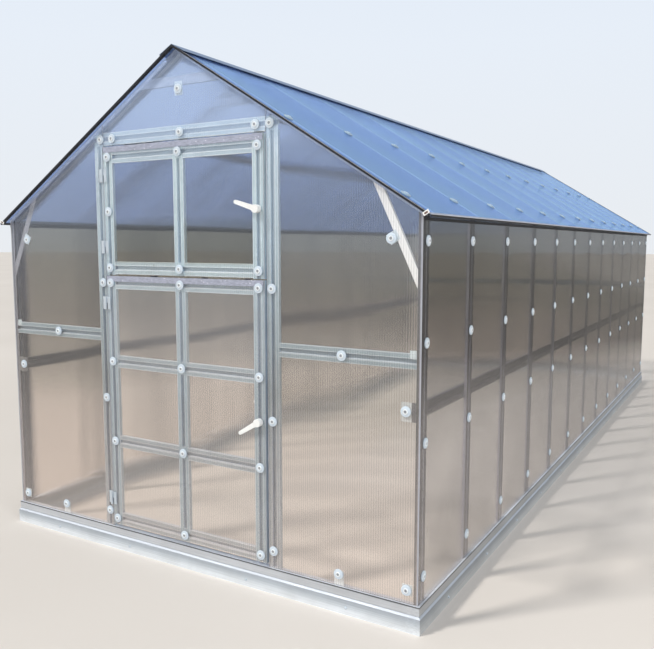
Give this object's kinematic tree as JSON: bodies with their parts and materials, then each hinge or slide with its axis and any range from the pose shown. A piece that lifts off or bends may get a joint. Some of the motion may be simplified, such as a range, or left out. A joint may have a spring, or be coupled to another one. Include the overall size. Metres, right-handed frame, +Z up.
{
  "type": "polycarbonate greenhouse",
  "caption": "Long walk-in greenhouse with a pitched roof: folded steel frame on a channel base, twin-wall sheets and a stable door with lever handles.",
  "frame": {"origin": "on the ground, in the middle of the base", "axes": "+Z up, +Y along the house from the door end to the rear end, +X to the right when facing the door"},
  "size_m": [2.3996, 6.1357, 2.3448],
  "materials": {
    "galvanised_steel": "spangled zinc",
    "base_metal": "spangled zinc",
    "cap_metal": "satin zinc",
    "edge_trim": "satin",
    "hinge_metal": "bright zinc",
    "polycarbonate": "clear twin wall, upright flutes",
    "roof_polycarbonate": "clear twin wall, flutes down the slope",
    "white_plastic": "moulded"
  },
  "bodies": {
    "house": {"back_beam": "galvanised_steel", "back_posts": "galvanised_steel", "back_rails": "galvanised_steel", "back_wall_sheets": "polycarbonate", "base_back": "base_metal", "base_front": "base_metal", "base_left": "base_metal", "base_right": "base_metal", "collar_ties": "galvanised_steel", "door_lintel": "galvanised_steel", "front_gable_sheet": "polycarbonate", "front_left_jamb": "galvanised_steel", "front_left_sheet": "polycarbonate", "front_rails": "galvanised_steel", "front_right_jamb": "galvanised_steel", "front_right_sheet": "polycarbonate", "jamb_hinges": "hinge_metal", "knee_braces": "galvanised_steel", "left_eave_trim": "edge_trim", "left_rafters": "galvanised_steel", "left_roof_sheets": "roof_polycarbonate", "left_wall_posts": "galvanised_steel", "left_wall_rail": "galvanised_steel", "left_wall_sheets": "polycarbonate", "purlins": "galvanised_steel", "rail_brackets": "galvanised_steel", "ridge_cap": "cap_metal", "right_eave_trim": "edge_trim", "right_rafters": "galvanised_steel", "right_roof_sheets": "roof_polycarbonate", "right_wall_posts": "galvanised_steel", "right_wall_rail": "galvanised_steel", "right_wall_sheets": "polycarbonate", "verge_trims": "edge_trim"},
    "upper_leaf": {"upper_door_frame": "galvanised_steel", "upper_door_mullion": "galvanised_steel", "upper_door_sheet": "polycarbonate", "upper_door_hinges": "hinge_metal"},
    "lower_leaf": {"lower_door_frame": "galvanised_steel", "lower_door_rails": "galvanised_steel", "lower_door_mullions": "galvanised_steel", "lower_door_sheet": "polycarbonate", "lower_door_hinges": "hinge_metal"},
    "upper_latch": {"upper_handle": "white_plastic"},
    "lower_latch": {"lower_handle": "white_plastic"}
  },
  "joints": [
    {"name": "upper_leaf_swing", "type": "hinge", "parent": "house", "child": "upper_leaf", "pos_m": [-0.4615, -3.0505, 0], "axis": [0, 0, -1], "range_deg": [0, 165]},
    {"name": "lower_leaf_swing", "type": "hinge", "parent": "house", "child": "lower_leaf", "pos_m": [-0.4615, -3.0505, 0], "axis": [0, 0, -1], "range_deg": [0, 165]},
    {"name": "upper_handle_turn", "type": "hinge", "parent": "upper_leaf", "child": "upper_latch", "pos_m": [0.4295, -3.045, 1.63827], "axis": [0, -1, 0], "range_deg": [0, 90]},
    {"name": "lower_handle_turn", "type": "hinge", "parent": "lower_leaf", "child": "lower_latch", "pos_m": [0.4295, -3.045, 0.744], "axis": [0, 1, 0], "range_deg": [0, 90]}
  ]
}
